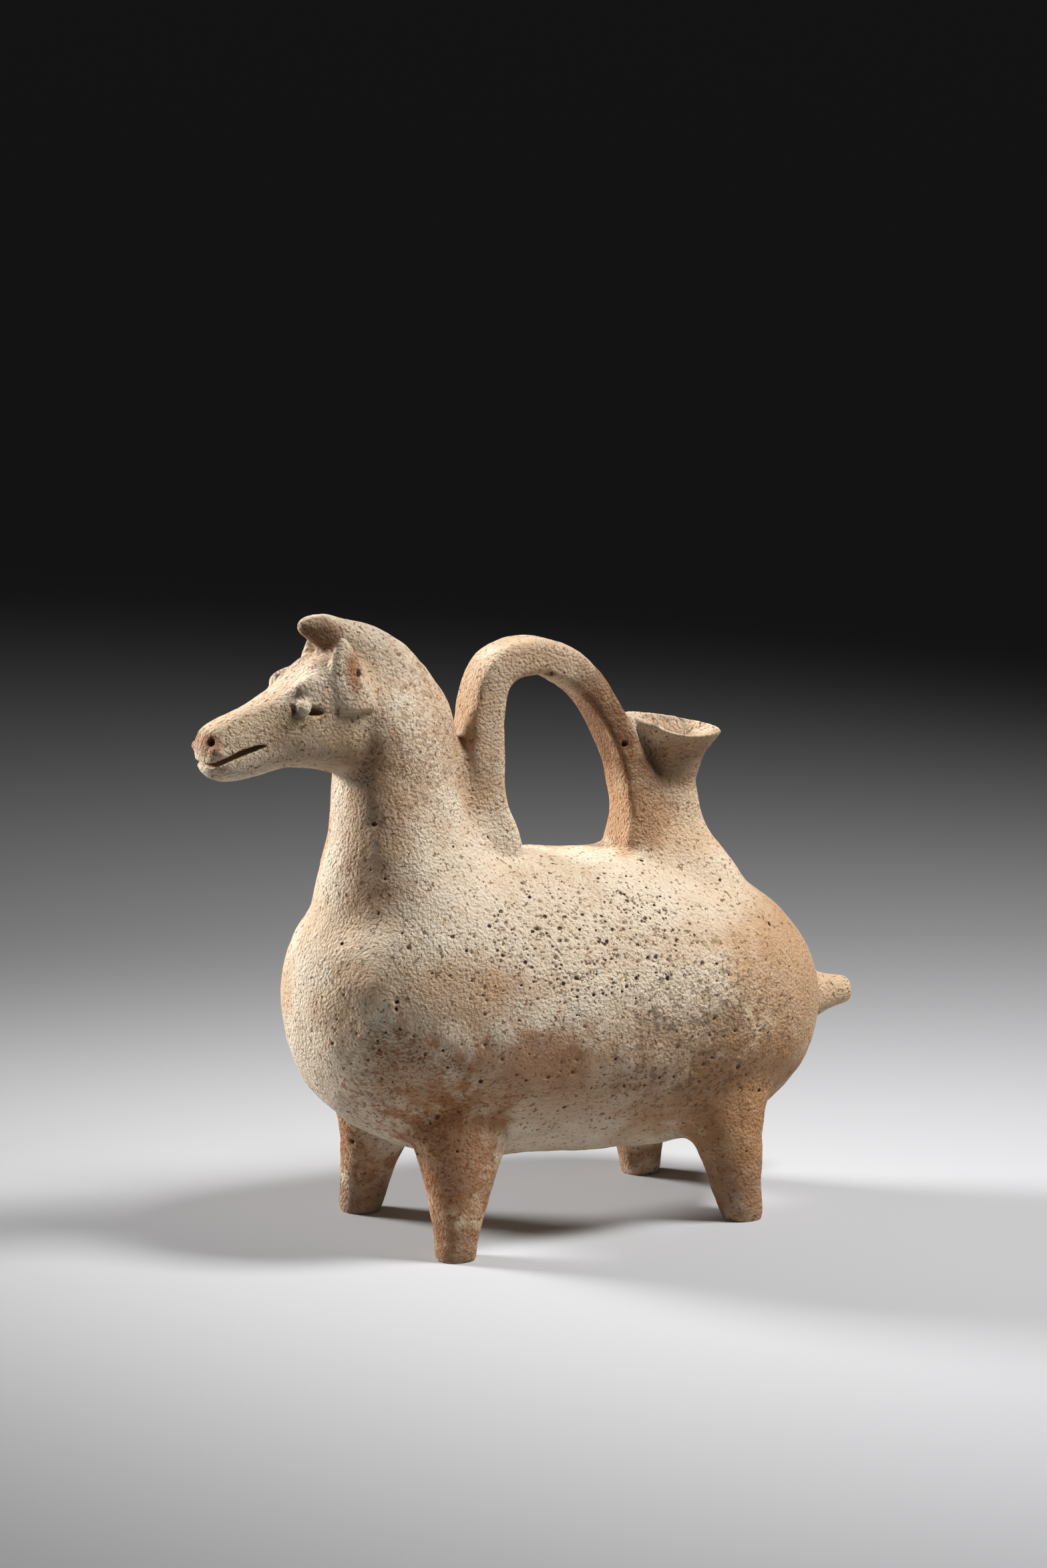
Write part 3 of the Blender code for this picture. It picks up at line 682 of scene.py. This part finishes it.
CREAM, PALE, OCHRE = paint(200, 175, 146), paint(216, 199, 176), paint(196, 163, 128)
PINK, ORANGE, BROWN_AND_SHADE = paint(158, 118, 92), paint(176, 122, 72), paint(118, 82, 56)
RUST, SMOKE, OLIVE = paint(140, 86, 50), paint(98, 78, 60), paint(176, 158, 104)
# Fawn lies on the shaded parts, the legs, lower rump and flank, cheek, front of the neck and strap: partly
# the clay's own brown, partly painted warm shade.
FAWN_AND_WARM_SHADE, PIT_SHADE = paint(164, 121, 84), paint(84, 56, 38)
STAINS = (
    ((112, 0, 95), (62, 90, 60), OCHRE, 0.70, 0.9),
    ((58, 0, 175), (34, 50, 34), OCHRE, 0.50, 0.9),
    ((-66, 34, 148), (34, 30, 26), PALE, 0.85, 1.2),
    ((-20, 48, 132), (46, 26, 20), PALE, 0.60, 1.2),
    ((60, 34, 138), (34, 30, 14), PALE, 0.50, 0.9),
    # Paler on the low chest and, next, on the low belly: painted light, from the left lamp on the chest
    # and thrown up from the floor under the belly.
    ((-104, 12, 78), (22, 22, 26), PALE, 0.75, 1.2),
    ((-26, 46, 48), (44, 30, 13), PALE, 0.65, 1.2),
    ((75, 50, 112), (17, 20, 13), ORANGE, 0.25, 1.4),
    ((70, 55, 54), (50, 30, 28), FAWN_AND_WARM_SHADE, 0.80, 1.2),
    ((98, 40, 104), (24, 44, 32), FAWN_AND_WARM_SHADE, 0.50, 1.2),
    ((-103, 14, 212), (24, 14, 20), FAWN_AND_WARM_SHADE, 0.35, 1.2),
    # A tall fawn band down the front of the neck: partly the clay's colour, partly painted shade where
    # neither lamp falls.
    ((-84, 19, 172), (14, 14, 40), FAWN_AND_WARM_SHADE, 0.60, 1.2),
    ((-60, 54, 112), (28, 22, 13), FAWN_AND_WARM_SHADE, 0.40, 1.8),
    ((-30, 60, 81), (26, 20, 13), PINK, 0.85, 1.6),
    ((-38, 58, 74), (46, 22, 22), FAWN_AND_WARM_SHADE, 0.30, 1.2),
    ((42, 58, 80), (26, 22, 20), SMOKE, 0.25, 3.2),
    ((54, 58, 86), (10, 14, 8), SMOKE, 0.30, 3.2),
    ((20, 60, 66), (90, 60, 24), FAWN_AND_WARM_SHADE, 0.30, 2.0),
    ((-62, 45, 40), (22, 24, 36), FAWN_AND_WARM_SHADE, 0.75, 2.4),
    ((70, 45, 34), (22, 24, 34), FAWN_AND_WARM_SHADE, 0.85, 1.6),
    ((-4, 8, 214), (50, 18, 34), FAWN_AND_WARM_SHADE, 0.40, 1.4),
    ((-34, 6, 196), (9, 14, 30), FAWN_AND_WARM_SHADE, 0.30, 1.4),
    # Brown on the strap's rear limb: partly the clay's brown, partly painted shade.
    ((29, 8, 205), (18, 16, 30), BROWN_AND_SHADE, 0.90, 0.9),
    ((40, 8, 168), (17, 16, 16), FAWN_AND_WARM_SHADE, 0.75, 1.2),
    # Brown on the cup's outer wall: partly the clay's brown, partly painted shade.
    ((60, 18, 187), (24, 18, 15), BROWN_AND_SHADE, 0.55, 0.9),
    ((62, 0, 207), (22, 18, 12), PALE, 1.00, 0.2),
    ((-97, 33, 116), (9, 12, 8), ORANGE, 0.35, 1.8),
    ((-105, 23, 101), (12, 14, 12), OCHRE, 0.6, 1.6),
    ((-48, 56, 115), (7, 12, 5), ORANGE, 0.25, 2.2),
    ((-85, 27, 143), (14, 16, 8), ORANGE, 0.18, 1.8),
    ((-81, 46, 78), (19, 22, 19), RUST, 0.40, 3.4),
    ((-60, 50, 44), (18, 24, 24), RUST, 0.45, 2.8),
    ((-62, 40, 8), (18, 24, 9), BROWN_AND_SHADE, 0.55, 2.0),
    ((70, 50, 12), (20, 24, 14), BROWN_AND_SHADE, 0.45, 2.2),
    ((-92, 22, 214), (9, 12, 9), OLIVE, 0.16, 1.8),
    ((-113, 14, 221), (9, 10, 5), OLIVE, 0.30, 1.8),
    # A thin dark band through each eye: painted shade in the slits of the socket.
    ((-112, 15, 224), (9, 7, 2.6), BROWN_AND_SHADE, 0.60, 0.4),
    ((-112, 17, 224.8), (3.3, 5, 3.3), PALE, 0.90, 0.1),
    # Brown in the forelock hollows: partly the clay's brown, partly painted shade in the hollow.
    ((-102, 7, 251), (11, 7, 9), BROWN_AND_SHADE, 0.80, 1.0),
    ((-150, 6, 212), (5, 8, 5), RUST, 0.7, 1.2),
    ((-91, 20, 240), (4, 8, 9), RUST, 0.80, 0.9),
    ((-80, 6, 244), (22, 12, 14), BROWN_AND_SHADE, 0.22, 2.8),
)
SPECKLED = (
    ((-84, 44, 62), (28, 34, 36), RUST, 0.60),
    ((48, 58, 84), (44, 30, 34), SMOKE, 0.55),
    ((-62, 46, 24), (20, 24, 26), RUST, 0.55),
    ((-62, 18, 214), (22, 24, 40), BROWN_AND_SHADE, 0.40),
)


def dress_in_clay(look):
    look.use_nodes = True
    tree = look.node_tree
    place = drawn_place(tree, put(tree, "ShaderNodeTexCoord", {}, "Object"))
    colour = mixed(tree, ramp(tree, noise(tree, place, 26.0, 4.0), -0.16, 0.16), CREAM, PALE)
    for centre, sizes, tint, strength, ragged in STAINS:
        share = reckon(tree, "MULTIPLY", patch(tree, place, centre, sizes, ragged), strength)
        colour = mixed(tree, share, colour, tint)
    grime = reckon(tree, "MULTIPLY", ramp(tree, noise(tree, place, 6.0, 6.0), 0.0, 0.22), 0.40)
    colour = mixed(tree, grime, colour, OCHRE)
    specks = reckon(tree, "MULTIPLY", ramp(tree, noise(tree, place, 1.8, 3.0), 0.09, 0.16), 0.80)
    colour = mixed(tree, specks, colour, BROWN_AND_SHADE)
    crumbs = ramp(tree, noise(tree, place, 2.6, 5.0), 0.02, 0.09)
    for centre, sizes, tint, strength in SPECKLED:
        share = reckon(tree, "MULTIPLY", patch(tree, place, centre, sizes, 1.2), strength)
        colour = mixed(tree, reckon(tree, "MULTIPLY", share, crumbs), colour, tint)
    hollows = pitting(tree, place, PITS_ON_FLANK, PITS_ELSEWHERE)
    # The pits are darkened in step with their depth: painted shade in the hollows.
    colour = mixed(tree, ramp(tree, hollows, 0.1, 0.6, 0.0, 0.85), colour, PIT_SHADE)
    dents = reckon(tree, "MULTIPLY", hollows, -0.5)
    grains = put(tree, "ShaderNodeTexVoronoi", {"Vector": place, "Scale": 1 / 1.7}, "Distance")
    crumbled = reckon(tree, "MULTIPLY_ADD", grains, -0.35, dents)
    grit = reckon(tree, "MULTIPLY_ADD", noise(tree, place, 1.2, 6.0), 1.3, crumbled)
    bump = put(tree, "ShaderNodeBump", {"Height": grit, "Distance": MM, "Strength": 1.0})
    shader = tree.nodes["Principled BSDF"]
    shader.inputs["Roughness"].default_value = 0.88
    shader.inputs["Specular IOR Level"].default_value = 0.25
    tree.links.new(colour, shader.inputs["Base Color"])
    tree.links.new(bump, shader.inputs["Normal"])


dress_in_clay(clay_look)

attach(rhyton, "root")
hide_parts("rhyton")


# A plain pale floor, and the view of the photograph: from the left front and a little above,
# through a long lens.
IMAGE_HEIGHT = 2349
FOCAL_PIXELS = 8000
SENSOR = 36.0
bpy.ops.mesh.primitive_plane_add(size=120.0, location=(0, 0, 0))
floor = bpy.context.object
floor.name = "floor"
floor_look = bpy.data.materials.new("pale_floor")
floor_look.use_nodes = True
floor_look.node_tree.nodes["Principled BSDF"].inputs["Base Color"].default_value = (0.44, 0.44, 0.45, 1)
floor_look.node_tree.nodes["Principled BSDF"].inputs["Roughness"].default_value = 0.7
floor.data.materials.append(floor_look)

camera = bpy.data.objects.new("camera", bpy.data.cameras.new("camera"))
camera.data.sensor_width = SENSOR
camera.data.lens = FOCAL_PIXELS / IMAGE_HEIGHT * SENSOR
camera.location = (-1.0212, -1.889, 0.583)
yaw, pitch = math.radians(28.26), math.radians(10.57)
aim = Vector((math.sin(yaw) * math.cos(pitch), math.cos(yaw) * math.cos(pitch), -math.sin(pitch)))
camera.rotation_euler = aim.to_track_quat("-Z", "Y").to_euler()
bpy.context.scene.collection.objects.link(camera)
bpy.context.scene.camera = camera


# Plain soft studio light from two lamps: one low behind on the left, which draws the edges of the
# neck and the chest, and one high in front on the right. Very little light comes from around.
def softbox(name, place, aim_at, size, watts, spread):
    """A square lamp of this size, in metres, whose light spreads by this many degrees."""
    light = bpy.data.objects.new(name, bpy.data.lights.new(name, "AREA"))
    light.data.size = size
    light.data.energy = watts
    light.data.spread = math.radians(spread)
    light.location = place
    light.rotation_euler = (Vector(aim_at) - Vector(place)).to_track_quat("-Z", "Y").to_euler()
    bpy.context.scene.collection.objects.link(light)


softbox("left_softbox", (-0.74, 0.85, 0.62), (0, 0, 0.18), 0.35, 2.25, 44)
softbox("right_softbox", (0.56, -0.46, 1.24), (0.10, -0.04, 0.08), 0.35, 6.1, 86)
world = bpy.context.scene.world or bpy.data.worlds.new("world")
bpy.context.scene.world = world
world.use_nodes = True
world.node_tree.nodes["Background"].inputs["Color"].default_value = (1, 1, 1, 1)
world.node_tree.nodes["Background"].inputs["Strength"].default_value = 0.013
bpy.context.scene.view_settings.view_transform = "Standard"
